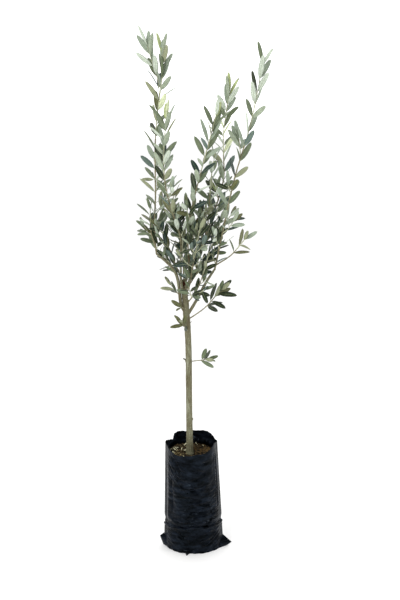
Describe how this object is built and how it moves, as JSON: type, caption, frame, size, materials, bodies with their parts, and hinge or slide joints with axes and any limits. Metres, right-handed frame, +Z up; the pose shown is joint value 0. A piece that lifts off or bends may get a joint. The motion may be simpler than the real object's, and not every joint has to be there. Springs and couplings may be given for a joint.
{
  "type": "potted olive tree",
  "caption": "Young standard olive tree with a straight bare trunk and a narrow upright crown of thin leaders, planted in a plain dark film nursery bag of bark compost.",
  "frame": {"origin": "centre of the bag's flat underside", "axes": "+Z up along the trunk, +X to the tree's right in the picture, +Y to the back"},
  "size_m": [0.3637, 0.2785, 1.5039],
  "materials": {
    "bark": "smooth young bark with fine flecks",
    "leaf": "leathery sage green, paler below",
    "film": "creased satin film",
    "compost": "loose composted bark"
  },
  "bodies": {
    "root": {"trunk": "bark", "bough_left": "bark", "bough_right": "bark", "bough_inner": "bark", "bough_front": "bark", "bough_back": "bark", "left_leader": "leaf", "inner_leader": "leaf", "front_leader": "leaf", "back_leader": "leaf", "right_leader": "leaf", "heart_left": "leaf", "heart_front": "leaf", "heart_back": "leaf", "heart_right": "leaf", "heart_middle": "leaf", "fork_shoot": "leaf", "left_twig": "leaf", "right_twig": "leaf", "mid_left_twig": "leaf", "low_left_twig": "leaf", "low_right_twig": "leaf", "bag": "film", "soil": "compost"}
  },
  "joints": []
}
